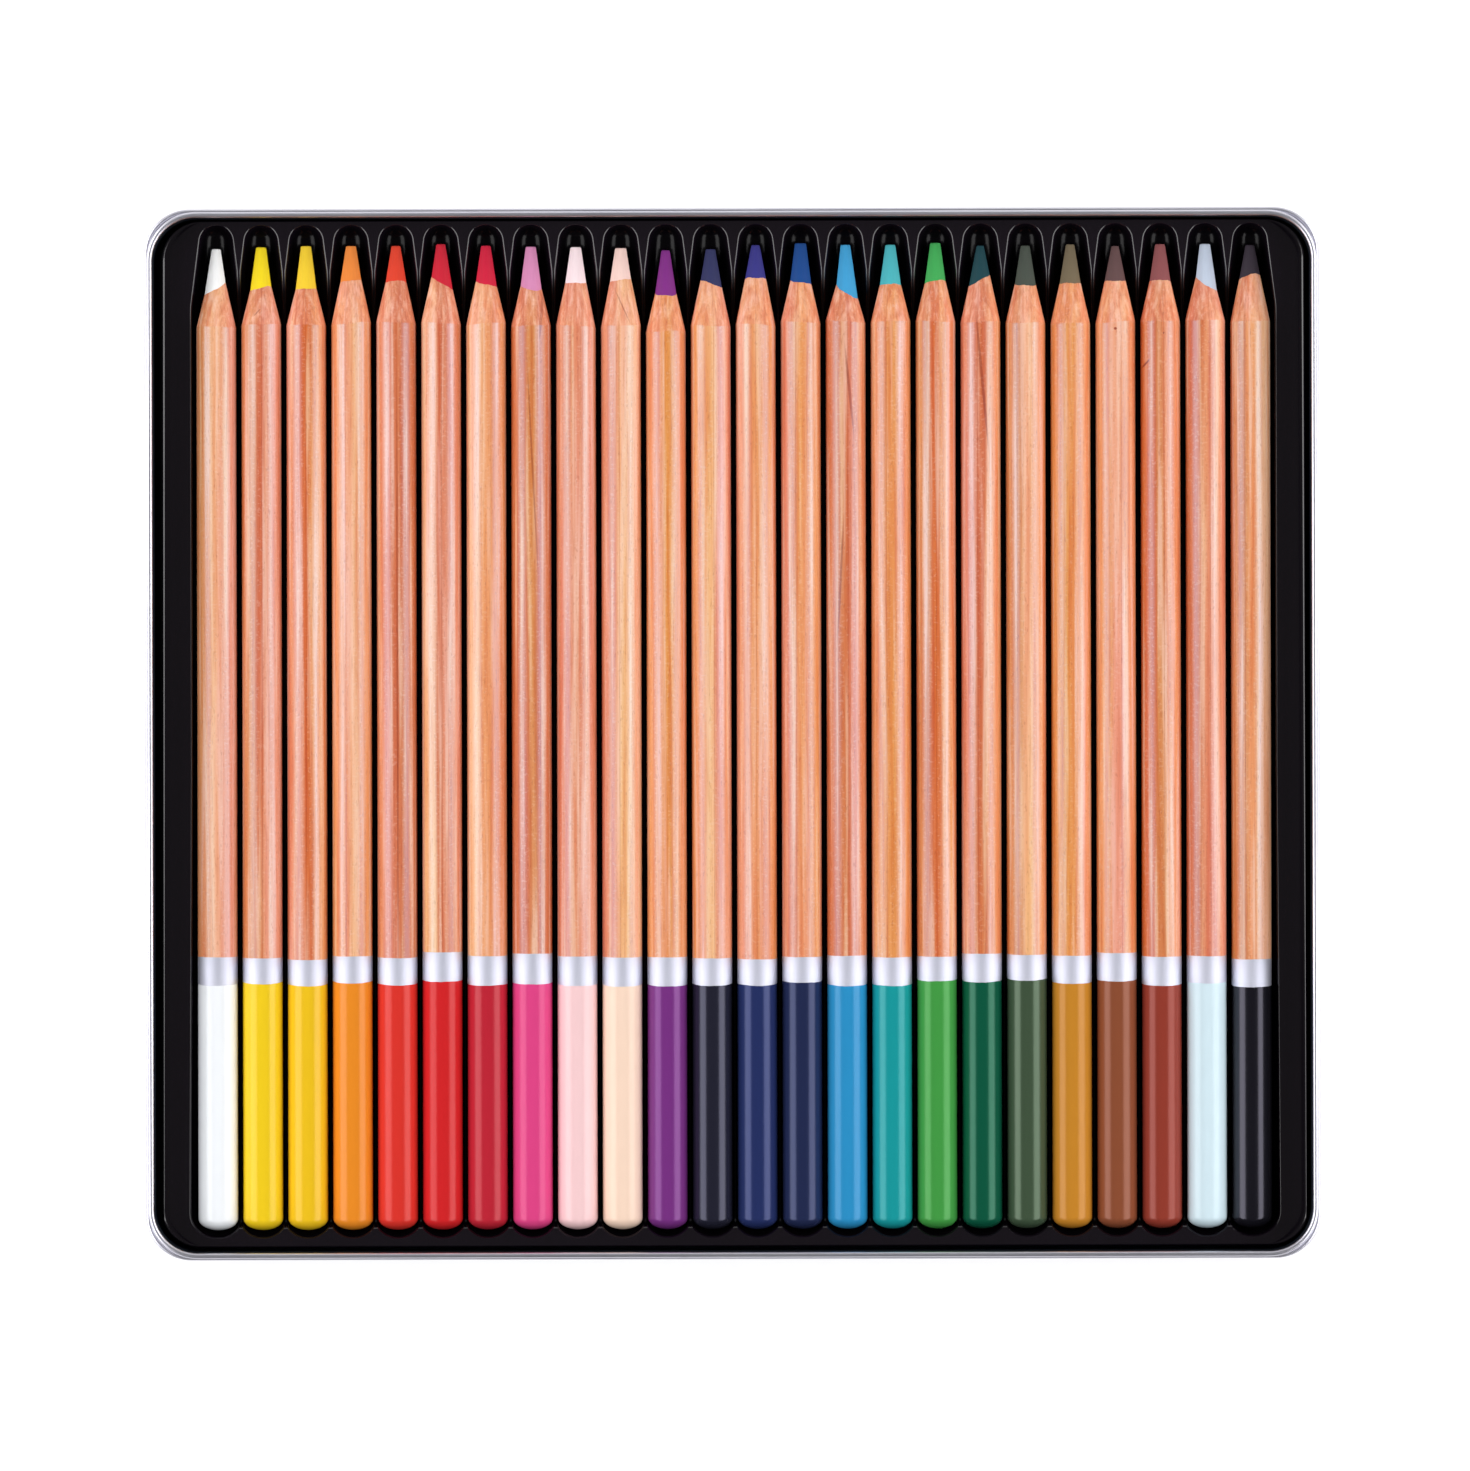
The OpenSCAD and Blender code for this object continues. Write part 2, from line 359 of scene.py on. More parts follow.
def groove_outline():
    """Half outline of a groove from its end to its tip: radius, length and outward direction."""
    tip_radius = groove_radius - groove_narrows
    tip = groove_length - tip_radius
    taper = tip - taper_length
    slope = math.degrees(math.atan2(groove_narrows, taper_length))
    blend = taper - taper_blend * math.tan(math.radians(slope / 2))
    first = math.degrees(math.acos(edge_round / (end_radius + edge_round)))
    stations = []
    for p in arc((0, end_radius), end_radius, -first, 0, end_steps):
        stations.append((p.x, p.y, p.x / end_radius, (p.y - end_radius) / end_radius))
    for k in range(1, straight_steps):
        along = end_radius + (blend - end_radius) * k / straight_steps
        stations.append((groove_radius, along, 1, 0))
    blend_middle = (groove_radius - taper_blend, blend)
    for p in arc(blend_middle, taper_blend, 0, slope, blend_steps):
        out = (p - Vector(blend_middle)) / taper_blend
        stations.append((p.x, p.y, out.x, out.y))
    last = math.degrees(math.acos(edge_round / (tip_radius + edge_round)))
    start = Vector(stations[-1][:2])
    tip_arc = arc((0, tip), tip_radius, slope, last, tip_steps)
    for k in range(1, taper_steps):
        p = start.lerp(tip_arc[0], k / taper_steps)
        stations.append((p.x, p.y, math.cos(math.radians(slope)), math.sin(math.radians(slope))))
    stations += [(p.x, p.y, p.x / tip_radius, (p.y - tip) / tip_radius) for p in tip_arc]
    return stations


def groove_side(station, skin, ball, reach):
    """Half a section of the grooved sheet, from the groove's bottom out to reach. Skin is how
    far below the sheet's face this surface lies, and ball is the radius of its rounded edge."""
    radius, along, out_x, out_y = station
    ball_radius = max(radius + (skin + ball) * out_x, skin + ball)
    radius = ball_radius - ball * out_x
    along = along + skin * out_y
    middle_x = math.sqrt(max(ball_radius ** 2 - (skin + ball) ** 2, 0))
    edge = middle_x + land_margin if reach is None else reach
    middle_x = min(middle_x, edge)
    middle = Vector((middle_x, along + ball * out_y, -math.sqrt(ball_radius ** 2 - middle_x ** 2)))
    turn = math.atan2(-middle.z, middle_x)
    side = []
    for k in range(wall_steps + 1):
        a = math.pi / 2 + (turn - math.pi / 2) * k / wall_steps
        side.append(Vector((radius * math.cos(a), along, -radius * math.sin(a))))
    start = (side[-1] - middle).normalized()
    for k in range(1, round_steps + 1):
        side.append(middle + ball * start.slerp(Vector((0, 0, 1)), k / round_steps))
    side.append(Vector((edge, middle.y, side[-1].z)))
    return side


def grooved_sheet(mesh, skin, ball):
    """One skin of all the grooves with the land between them. Returns its open border."""
    made = []
    stations = groove_outline()
    for axis in axes:
        left_reach = None if axis == axes[0] else pitch / 2
        right_reach = None if axis == axes[-1] else pitch / 2
        groove_end = Vector((axis.x, groove_start, land_z))
        rows = []
        for station in stations:
            left = groove_side(station, skin, ball, left_reach)
            left = [Vector((-p.x, p.y, p.z)) for p in left]
            right = groove_side(station, skin, ball, right_reach)
            rows.append([mesh.verts.new(groove_end + p) for p in left[:0:-1] + right])
        made += [v for row in rows for v in row]
        for near, far in zip(rows, rows[1:]):
            for k in range(len(near) - 1):
                mesh.faces.new((near[k], near[k + 1], far[k + 1], far[k]))
    bmesh.ops.remove_doubles(mesh, verts=made, dist=weld_gap)
    alive = {v for v in made if v.is_valid}
    return [e for e in mesh.edges if len(e.link_faces) == 1 and e.verts[0] in alive]


def eased(whole, share):
    """A share of the whole, on a curve that starts and ends softly."""
    return whole * share ** 2 * (3 - 2 * share)


def tray_edge(skin, out):
    """The sheet's edge where the plan faces out: at the sides a shallow dish with a steep
    flank, then everywhere the bend and the skirt."""
    bend = max(side_bend + (tip_bend - side_bend) * max(out.y, 0) ** 2, skin + hollow_round)
    sideways = min(dish_spread * abs(out.x), 1)
    flank = dish_least + dish_flank * sideways
    slope = dish_least + dish_width * sideways
    drop = dish_drop * sideways
    edge = []
    for k in range(dish_steps + 1):
        share = k / dish_steps
        edge.append((-bend - flank - slope * (1 - share), eased(-drop, share)))
    for k in range(1, flank_steps):
        share = k / flank_steps
        edge.append((-bend - flank * (1 - share), -drop * (1 - eased(1, share))))
    for k in range(bend_steps + 1):
        a = math.pi / 2 * k / bend_steps
        edge.append((-bend + (bend - skin) * math.sin(a), (bend - skin) * (math.cos(a) - 1)))
    edge = [(shift, land_z - skin + height) for shift, height in edge]
    edge.append((skirt_lean - skin, skirt_foot))
    return edge


def clamp(share):
    """The nearest number from 0 to 1."""
    return min(max(share, 0), 1)


def tray_mesh():
    """Both skins of the tray, its bent edge and its skirt as one closed mesh. Its outermost
    groove walls flare towards the domed ends."""
    mesh = bmesh.new()
    borders = [grooved_sheet(mesh, 0, edge_round), grooved_sheet(mesh, sheet_thick, hollow_round)]
    ring = plan(land_low, land_high, land_corner)
    loops = []
    for skin in (0, sheet_thick):
        edges = []
        for p, out in ring:
            edges.append([(*(p + out * shift), height) for shift, height in tray_edge(skin, out)])
        loops.append([[mesh.verts.new(edge[k]) for edge in edges] for k in range(len(edges[0]))])
    outer, inner = loops
    chain = outer + inner[::-1]
    size = len(ring)
    for near, far in zip(chain, chain[1:]):
        for k in range(size):
            mesh.faces.new((near[k], near[(k + 1) % size], far[(k + 1) % size], far[k]))
    for border, loop in zip(borders, (outer[0], inner[0])):
        edges = [mesh.edges.get((loop[k], loop[(k + 1) % size])) for k in range(size)]
        bmesh.ops.triangle_fill(mesh, edges=border + edges, use_beauty=True)
    bmesh.ops.recalc_face_normals(mesh, faces=mesh.faces)
    middle = (land_low.x + land_high.x) / 2
    half = (land_high.x - land_low.x) / 2
    outer_axis = axes[-1].x - middle
    for vert in mesh.verts:
        reach = abs(vert.co.x - middle)
        near_end = clamp((land_low.y + flare_length - vert.co.y) / flare_length)
        outside = clamp((reach - outer_axis) / groove_radius)
        outside *= clamp((half - reach) / (side_bend + dish_flank))
        vert.co.x += math.copysign(flare * near_end * outside, vert.co.x - middle)
    return mesh


def gloss_plastic():
    """Black formed sheet: a high gloss with the slight waviness of forming and fine rubbed marks,
    rougher down in the grooves, where a darker matte colour is mixed in as painted shade."""
    finish = Finish(bpy.data.materials.new("tray_gloss"))
    wave = finish.noise((0.12, 0.12, 0.12), 1)
    rubbed = finish.noise((2.5, 0.5, 2.5), 3)
    height = finish.node("SeparateXYZ", {}, {0: finish.place((1, 1, 1))}, 2)
    # Deeper in the grooves: more roughness, and painted shade, a near-black matte colour mixed in below that
    # hides the lamps' glints.
    stops = [((land_z - dull_and_shade_whole) / ramp_span, 1), ((land_z - dull_and_shade_from) / ramp_span, 0)]
    dull_and_shade = finish.ramp(height * (mm / ramp_span), stops)
    colour = finish.mix(rubbed, tint("110b12"), tint("18111a"))
    dent = finish.node("Bump", {}, {"Strength": 0.25, "Distance": 0.05 * mm, "Height": wave})
    # The dull mix at the end is painted shade: a near-black matte colour deep in the grooves.
    return finish.surface({
        "Base Color": colour,
        "Roughness": 0.08 + 0.08 * rubbed + 0.04 * dull_and_shade,
        "IOR": 1.58,
        "Normal": dent,
    }, (tint("08070a"), 0.8 * dull_and_shade))


sheet = tray_mesh()
formed = bpy.data.meshes.new("tray_sheet")
sheet.to_mesh(formed)
sheet.free()
formed.materials.append(gloss_plastic())
formed.polygons.foreach_set("use_smooth", [True] * len(formed.polygons))
formed.set_sharp_from_angle(angle=math.radians(sheet_sharp))
tray = bpy.data.objects.new("tray_sheet", formed)
bpy.context.scene.collection.objects.link(tray)
shading = tray.modifiers.new("even_shading", "WEIGHTED_NORMAL")
shading.keep_sharp = True
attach(tray, "tray")
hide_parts("tray")


# ---- The pencils ----
# Each is two half slats of cedar glued round a coloured core, turned round,
# varnished clear, dipped in lacquer at one end and sharpened at the other. A foil
# band covers the lacquer's edge. The cores are waxy pigment.

pencil_radius = 3.6 * mm
core_radius = 1.9 * mm
core_gap = 0.02 * mm
core_edge_slope = 0.8
dome_rise = 2.1 * mm
dip_sag = 0.42 * mm
dip_thick = 0.01 * mm
dip_step = 0.06 * mm
foil_start = 44.2 * mm
foil_end = 49.0 * mm
foil_proud = 0.015 * mm
foil_sag = 0.15 * mm
foil_step = 0.02 * mm
varnish_thick = 0.03 * mm
varnish_round = 0.25 * mm
varnish_edge = 0.08 * mm
varnish_edge_proud = 1.4
shoulder_skew = 0.3 * mm
inner_wall = 1.2 * mm
inner_core = 1.25 * mm
cut_waves = 0.13 * mm
stamp_waves = 0.04 * mm
dip_waves = 0.06 * mm
chip_waves = 0.1 * mm
nose = 0.18 * mm
round_sides = 72
dome_steps = 12
turned_sharp = 40
shape_seed = 100
wood_seed = 500

# Colours of varnished cedar, and in millimetres how far the line between two of them
# wavers, over how much it blends, and the width that its ramp spans.
wood_waver = 2.0
wood_blend = 0.35
wood_span = 6
CEDARS = {
    "pale": "f7c298",
    "pink": "f0a988",
    "peach": "eea26c",
    "rose": "e69571",
    "honey": "e89b55",
    "tan": "dd925d",
    "russet": "d87e51",
    "copper": "da743b",
}

# Core and lacquer colours, turn of the glue line, wood to the left, in the middle and to
# the right, bare length of the core, how far the core's edge leans and bows, length of the
# cone, width of the point, and shifts of the foil's two edges; lengths in millimetres.
PENCILS = {
    "white": ("ffffff", "f8fbff", 84, "peach", "pale", "pink", 7.2, 1.1, 0.1, 14.1, 1.6, -0.1, 0.2),
    "lemon_yellow": ("f8dc20", "f1cb20", 3, "tan", "russet", "pink", 7.4, 0.4, 0.0, 14.0, 1.8, 0.2, 0.0),
    "golden_yellow": ("f6cf35", "eec01f", 0, "rose", "copper", "peach", 7.9, 0.1, -0.2, 14.3, 1.8, -0.2, -0.3),
    "orange": ("f08b3e", "ea8b26", -16, "peach", "pale", "peach", 6.4, 0.3, -0.1, 14.0, 1.8, 0.3, 0.3),
    "vermilion": ("e4452f", "da352c", 78, "rose", "russet", "russet", 6.7, 0.0, -0.4, 13.9, 1.6, -0.1, 0.0),
    "scarlet": ("d0263a", "d02528", 2, "pale", "russet", "rose", 7.0, -1.1, 0.1, 14.3, 1.6, 0.5, 1.0),
    "crimson": ("d32441", "bc2636", 80, "pale", "peach", "peach", 7.0, -0.5, 0.0, 14.1, 1.7, -0.2, 0.3),
    "magenta_pink": ("d98cb8", "de4585", 27, "russet", "tan", "russet", 7.4, -0.3, 0.4, 14.3, 1.8, 0.0, 0.7),
    "pale_pink": ("fde6ea", "f8cfd1", -75, "rose", "rose", "pink", 6.5, 0.0, 0.0, 14.3, 1.9, -0.3, 0.2),
    "peach": ("fad6cc", "f9dac4", -5, "rose", "pale", "pale", 5.8, 0.3, 0.0, 14.0, 2.0, -0.4, 0.0),
    "purple": ("823086", "75317f", 85, "peach", "honey", "peach", 7.7, 0.0, 0.6, 14.7, 1.5, -0.4, 0.0),
    "indigo": ("353861", "1f1f2c", 8, "peach", "pale", "pink", 6.2, -0.7, 0.1, 13.9, 1.7, -0.3, -0.2),
    "violet_blue": ("3c3a88", "242f5e", 0, "pink", "peach", "peach", 6.2, 0.0, -0.3, 14.4, 1.5, -0.3, -0.4),
    "dark_blue": ("1d4a8e", "21294b", -15, "rose", "peach", "peach", 7.1, -0.3, 0.0, 14.3, 2.0, 0.2, 0.0),
    "sky_blue": ("42a0d4", "2c8fc5", 5, "russet", "russet", "rose", 8.3, -1.3, 0.5, 13.9, 1.7, -0.4, 0.2),
    "turquoise": ("4db5be", "18969a", -14, "peach", "honey", "peach", 7.2, 0.0, 0.0, 13.9, 1.75, -0.4, -0.1),
    "light_green": ("44ab59", "429844", 0, "tan", "copper", "peach", 7.2, 0.3, -0.4, 14.2, 1.8, 0.4, 0.0),
    "dark_green": ("20464e", "0b533c", -10, "rose", "russet", "peach", 6.3, 1.0, 0.0, 13.8, 1.3, 0.2, 0.5),
    "olive_green": ("4b524a", "3e503c", -27, "tan", "pale", "peach", 7.0, -0.1, 0.3, 14.0, 1.6, 0.5, 0.3),
    "ochre": ("766953", "c4832a", 88, "honey", "honey", "peach", 7.0, 0.0, 0.1, 14.3, 1.5, -0.1, 0.1),
    "brown": ("664c4c", "894c32", 15, "peach", "pink", "peach", 6.3, 0.0, 0.1, 13.8, 1.3, 0.3, 0.6),
    "rust": ("915355", "903a2d", 8, "copper", "tan", "peach", 6.8, 0.0, -0.3, 13.9, 1.75, -0.5, -0.1),
    "ice_blue": ("c3cee0", "d3e8f1", 11, "russet", "rose", "pink", 7.2, -1.2, 0.2, 13.8, 1.85, -0.1, 0.0),
    "black": ("3a323c", "131218", -19, "tan", "peach", "pale", 5.9, 0.4, -0.5, 13.8, 1.6, -0.8, -0.6),
}

# Dark resin marks in the wood: place across and back from the point, half width, half
# length, slant and strength; lengths in millimetres.
MARKS = {
    "lemon_yellow": [(-0.6, 11.8, 0.2, 0.8, 0.9, 0.7)],
    "vermilion": [(0.2, 80, 0.2, 66, 0.0, 0.5)],
    "magenta_pink": [(1.9, 12.5, 0.3, 5.0, 0.07, 0.6), (0.3, 40, 0.2, 22, -0.05, 0.5)],
    "peach": [(0.3, 10.5, 0.16, 3.4, -0.45, 0.7)],
    "sky_blue": [(0.6, 26, 0.3, 9.0, -0.1, 0.6), (-1.0, 60, 0.25, 12, 0.05, 0.6)],
    "dark_green": [(0.2, 24, 0.3, 14, -0.09, 0.6)],
    "brown": [(-0.1, 15.0, 0.35, 0.28, 0.0, 1.0)],
    "rust": [(-2.7, 21.6, 0.25, 0.9, 0.85, 1.0), (0.5, 16.1, 0.18, 0.22, 0.0, 0.9)],
}

# The rounded point: how far back from the tip, in lengths of the nose, and how far outside
# the point's radius, in millimetres.
POINT_ROUND = ((1.3, 0.03), (0.55, -0.02), (0.15, -0.1), (0, -0.22))


def cedar(number, glue, woods, marks, length, dice, bare):
    """Cedar with its two halves, growth layers, fibres, pores and resin marks; varnished, or
    freshly cut where bare."""
    kind = "cut_cedar" if bare else "cedar"
    finish = Finish(bpy.data.materials.new(f"{kind}_{number + 1:02d}"))
    finish.offset = (7.3 * number, 3.1 * number, 5.7 * number)
    spot = finish.place((1, 1, 1))
    turn = math.radians(glue)

    def along(direction):
        return finish.node("VectorMath", {"operation": "DOT_PRODUCT"}, {0: spot, 1: direction}, "Value")

    across = along((math.cos(turn), 0, -math.sin(turn)))
    right = across > 0
    x, y = (finish.node("SeparateXYZ", {}, {0: spot}, k) for k in (0, 1))
    sway = finish.noise((0.2, 0.012, 0.2), 2)
    layers = []
    for half in range(2):
        lie = math.radians(dice.uniform(-60, 60))
        layers.append((math.cos(lie), dice.uniform(-0.02, 0.02), math.sin(lie)))
    halves = {0: right, 2: along(layers[0]), 3: along(layers[1])}
    depth = finish.node("Mix", {"data_type": "FLOAT"}, halves)
    depth = (depth + 3.5 * sway) * dice.uniform(0.55, 0.9) + dice.uniform(0, 9)
    year = [(0, 0.75), (0.12, 0.1), (0.5, 0.2), (0.86, 0.8), (0.97, 1)]
    late = finish.ramp(depth.math("FRACT", depth), year)
    coarse = finish.noise((1.1, 0.02, 1.1), 1)
    stain = finish.noise((0.5, 0.008, 0.5), 1)
    fibre = finish.noise((4.5, 0.16, 4.5), 3)
    fleck = finish.ramp(finish.noise((3.6, 0.9, 3.6), 1), [(0.62, 0), (0.72, 1)])
    rays = finish.ramp(finish.noise((1.6, 2.4, 1.6), 1), [(0.56, 0), (0.66, 1)])

    def right_of(limit):
        """1 to the right of a wavering line, limit millimetres from the middle, and 0 to its left."""
        edge = (x + wood_waver * (sway - 0.5)) * (1 / wood_span) + 0.5
        first = 0.5 + (limit - wood_blend) / wood_span
        last = 0.5 + (limit + wood_blend) / wood_span
        return finish.ramp(edge, [(first, 0), (last, 1)])

    left, middle, far = (tint(CEDARS[wood]) for wood in woods)
    wood = finish.mix(right_of(dice.uniform(-1.1, -0.6)), left, middle)
    wood = finish.mix(right_of(dice.uniform(0.6, 1.1)), wood, far)
    glued = 1 - finish.ramp(across.math("ABSOLUTE", across), [(0.03, 0), (0.14, 1)])
    tones = [
        (0.5 * late, (0.93, 0.7, 0.52, 1), "MULTIPLY"),
        (finish.ramp(coarse, [(0.34, 1), (0.48, 0)]), (0.92, 0.76, 0.66, 1), "MULTIPLY"),
        (finish.ramp(coarse, [(0.52, 0), (0.68, 0.5)]), (0.96, 0.66, 0.52, 1), "MIX"),
        (finish.ramp(stain, [(0.36, 0.9), (0.5, 0)]), (0.98, 0.86, 0.95, 1), "MULTIPLY"),
        (finish.ramp(stain, [(0.54, 0), (0.66, 0.8)]), (0.98, 0.96, 0.72, 1), "MULTIPLY"),
        (finish.ramp(fibre, [(0.3, 0.7), (0.48, 0)]), (0.84, 0.72, 0.64, 1), "MULTIPLY"),
        (0.16 * rays * (1 - late), (1, 0.8, 0.68, 1), "MIX"),
        (0.4 * fleck, (0.66, 0.45, 0.34, 1), "MULTIPLY"),
        (0.45 * glued, (0.7, 0.42, 0.28, 1), "MULTIPLY"),
    ]
    for mark_x, mark_y, half_width, half_length, slant, mark_strength in marks:
        back = y - (length - mark_y)
        shift = (x - mark_x - slant * back) * (1 / half_width)
        spread = shift ** 2 + (back * (1 / half_length)) ** 2
        resin = finish.ramp(spread, [(0.3, mark_strength), (1, 0)])
        tones.append((resin, (0.42, 0.18, 0.09, 1), "MULTIPLY"))
    if bare:
        torn = finish.noise((2.8, 0.35, 2.8), 2, 0.4)
        tones += [
            (0.25, tint("eba68c"), "MIX"),
            (finish.ramp(torn, [(0.34, 0.5), (0.46, 0)]), (0.8, 0.62, 0.54, 1), "MULTIPLY"),
            (finish.ramp(torn, [(0.56, 0), (0.7, 0.25)]), (0.93, 0.68, 0.55, 1), "MIX"),
            (0.7 * late, (0.9, 0.74, 0.68, 1), "MULTIPLY"),
        ]
    for share, colour, how in tones:
        wood = finish.mix(share, wood, colour, how)
    height = fibre + 0.3 * late
    relief = 0.4 if bare else 0.12
    dent = finish.node("Bump", {}, {"Strength": relief, "Distance": 0.03 * mm, "Height": height})
    if bare:
        return finish.surface({"Base Color": wood, "Roughness": 0.6 + 0.12 * fibre, "Normal": dent})
    return finish.surface({
        "Base Color": wood,
        "Roughness": 0.28 + 0.1 * fibre,
        "IOR": 1.8,
        "Specular Tint": (0.3, 0.75, 1, 1),
        "Normal": dent,
    })


def lacquer(name, colour):
    """Dipped gloss lacquer with a faint orange peel."""
    finish = Finish(bpy.data.materials.new(name))
    peel = finish.noise((0.5, 0.25, 0.5), 2)
    shade = finish.mix(peel, colour, (0.95, 0.95, 0.95, 1), "MULTIPLY")
    dent = finish.node("Bump", {}, {"Strength": 0.25, "Distance": 0.02 * mm, "Height": peel})
    sheen = [0.4 + 0.6 * share / max(colour[:3]) for share in colour[:3]]
    return finish.surface({
        "Base Color": shade,
        "Roughness": 0.18 + 0.06 * peel,
        "IOR": 1.5,
        "Specular Tint": (*sheen, 1),
        "Normal": dent,
    })


def foil():
    """Silver stamping foil, satin and slightly uneven round the barrel."""
    finish = Finish(bpy.data.materials.new("foil"))
    crease = finish.noise((1.2, 0.15, 1.2), 3)
    colour = finish.mix(crease, tint("cdcedd"), tint("e2e3ee"))
    dent = finish.node("Bump", {}, {"Strength": 0.3, "Distance": 0.03 * mm, "Height": crease})
    return finish.surface({
        "Base Color": colour,
        "Metallic": 1.0,
        "Roughness": 0.6 + 0.12 * crease,
        "Normal": dent,
    })


def core_pigment(name, colour):
    """Waxy pigment with the fine turned lines and rubbed streaks of sharpening."""
    finish = Finish(bpy.data.materials.new(name))
    turned = finish.noise((0.6, 9, 0.6), 2)
    rubbed = finish.noise((2.2, 0.25, 2.2), 3)
    streaks = finish.ramp(rubbed, [(0.35, 0.4), (0.6, 0)])
    shade = finish.mix(streaks, colour, (0.9, 0.9, 0.9, 1), "MULTIPLY")
    dent = finish.node("Bump", {}, {"Strength": 0.25, "Distance": 0.03 * mm, "Height": turned})
    return finish.surface({
        "Base Color": shade,
        "Roughness": 0.6 + 0.15 * rubbed,
        "IOR": 1.25,
        "Normal": dent,
    })


def turned_piece(name, stations, finishes):
    """A closed turned mesh. Each station gives radius and place along the pencil for an angle
    from the top, and the finish of the stretch after it. A station of radius 0 is a pole."""
    points, rings, faces, marks = [], [], [], []
    for shape, finish in stations:
        radius, along = shape(0)
        if radius == 0:
            points.append((0, along, 0))
            rings.append(([len(points) - 1] * round_sides, finish))
            continue
        ring = []
        for k in range(round_sides):
            a = 2 * math.pi * k / round_sides
            radius, along = shape(a)
            ring.append(len(points))
            points.append((radius * math.sin(a), along, radius * math.cos(a)))
        rings.append((ring, finish))
    for (near, finish), (far, _) in zip(rings, rings[1:]):
        for k in range(round_sides):
            beside = (k + 1) % round_sides
            faces.append(tuple(dict.fromkeys((near[k], near[beside], far[beside], far[k]))))
            marks.append(finish)
    return make_piece(name, points, faces, finishes, marks, turned_sharp)


def even(radius, along):
    """A station that is the same all round."""
    return lambda a: (radius, along)


def wavy(dice, size):
    """A small waviness round the pencil, as a cut leaves that was fed by hand."""
    terms = []
    for waves in (2, 3, 5, 9, 14, 19):
        height = dice.uniform(0.4, 1) * size / waves ** 0.7
        terms.append((height, waves, dice.uniform(0, 6.28)))
    return lambda a: sum(height * math.sin(waves * a + start) for height, waves, start in terms)


def make_pencil(number, name, colour):
    """One pencil: its barrel of wood, foil and lacquer, and its core."""
    (core_code, lacquer_code, glue, left, middle, right, bare, lean, bow, cone, point,
     dip_shift, foil_shift) = PENCILS[colour]
    dice = random.Random(shape_seed + number)
    low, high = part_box(name + "_barrel")
    core_low, core_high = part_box(name + "_core")
    start = Vector((axes[number].x, low.y, axes[number].z))
    length = core_high.y - low.y
    end_cap = core_low.y - low.y - core_gap
    shoulder = length - cone * mm
    edge = length - bare * mm
    slope_wood = (pencil_radius - varnish_thick - core_radius) / (edge - shoulder)
    waves = (cut_waves, stamp_waves, dip_waves, chip_waves)
    cut, stamp, dip, chip = (wavy(dice, size) for size in waves)
    skew = dice.uniform(-shoulder_skew, shoulder_skew)
    foil_from = foil_start + dip_shift * mm
    foil_to = foil_end + foil_shift * mm

    def core_edge(a):
        along = edge + lean * mm * math.sin(a) - bow * mm * math.cos(a) + cut(a)
        return core_radius + (edge - along) * (slope_wood * core_edge_slope), along

    def inner_edge(radius, back):
        return lambda a: (radius, core_edge(a)[1] - back)

    def dip_edge(inset, back):
        return lambda a: (
            pencil_radius - inset,
            foil_from + dip(a) + dip_sag * (1 - math.cos(a)) - back,
        )

    def foil_edge(inset, ahead):
        return lambda a: (
            pencil_radius - inset,
            foil_to + stamp(a) + foil_sag * (1 - math.cos(a)) + ahead,
        )

    def shoulder_edge(inset, back):
        return lambda a: (pencil_radius - inset, shoulder - back + chip(a) + skew * math.sin(a))

    varnished, foiled, dipped, freshly_cut = range(4)
    stations = [(even(0, 0), dipped)]
    for k in range(1, dome_steps + 1):
        a = math.pi / 2 * k / dome_steps
        rise = dome_rise * (1 - math.cos(a))
        stations.append((even(pencil_radius * math.sin(a), rise), dipped))
    stations += [
        (dip_edge(dip_thick, dip_step), dipped),
        (dip_edge(0, 0), foiled),
        (foil_edge(0, 0), foiled),
        (foil_edge(foil_proud, foil_step), varnished),
        (shoulder_edge(foil_proud, varnish_round), varnished),
        (shoulder_edge(foil_proud * varnish_edge_proud, varnish_edge), varnished),
        (shoulder_edge(varnish_thick, 0), freshly_cut),
        (lambda a: (core_edge(a)[0] + core_gap / 2, core_edge(a)[1]), freshly_cut),
        (inner_edge(core_radius, inner_wall), freshly_cut),
        (even(core_radius, end_cap), freshly_cut),
        (even(0, end_cap), freshly_cut),
    ]
    marks = MARKS.get(colour, [])
    woods = (left, middle, right)
    wood, cut_wood = (
        cedar(number, glue, woods, marks, length / mm, random.Random(wood_seed + number), is_cut)
        for is_cut in (False, True)
    )
    paint = lacquer(f"lacquer_{number + 1:02d}", tint(lacquer_code))
    barrel = turned_piece(name + "_wood", stations, [wood, foil_finish, paint, cut_wood])

    core_stations = [
        (even(0, end_cap + core_gap), 0),
        (even(core_radius - core_gap, end_cap + core_gap), 0),
        (inner_edge(core_radius - core_gap, inner_core), 0),
        (lambda a: (core_edge(a)[0] - core_gap / 2, core_edge(a)[1]), 0),
    ]
    for back, wider in POINT_ROUND:
        core_stations.append((even((point / 2 + wider) * mm, length - nose * back), 0))
    core_stations.append((even(0, length), 0))
    pigment = core_pigment(f"core_{number + 1:02d}", tint(core_code))
    core = turned_piece(name + "_pigment", core_stations, [pigment])
    for made, part, slot in ((barrel, "_barrel", "cedar"), (core, "_core", "core_" + colour)):
        made.location = start
        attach(made, name)
        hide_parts(name + part)


foil_finish = foil()
for number, (name, colour) in enumerate(zip(PENCIL_NAMES, COLOURS)):
    make_pencil(number, name, colour)


# ---- The table, the light and the camera ----
# A plain white table, two long softboxes on either side whose reflections run
# down every pencil, a weaker one past the points, and a camera straight above.

table_size = 8.0
table_drop = 0.05 * mm
table_grey = 0.5
table_glow = 0.62
white = (1, 1, 1, 1)


def ray_is(finish, kind):
    """1 for the light rays of a kind and 0 for all others."""
    return finish.node("LightPath", {}, {}, f"Is {kind} Ray")


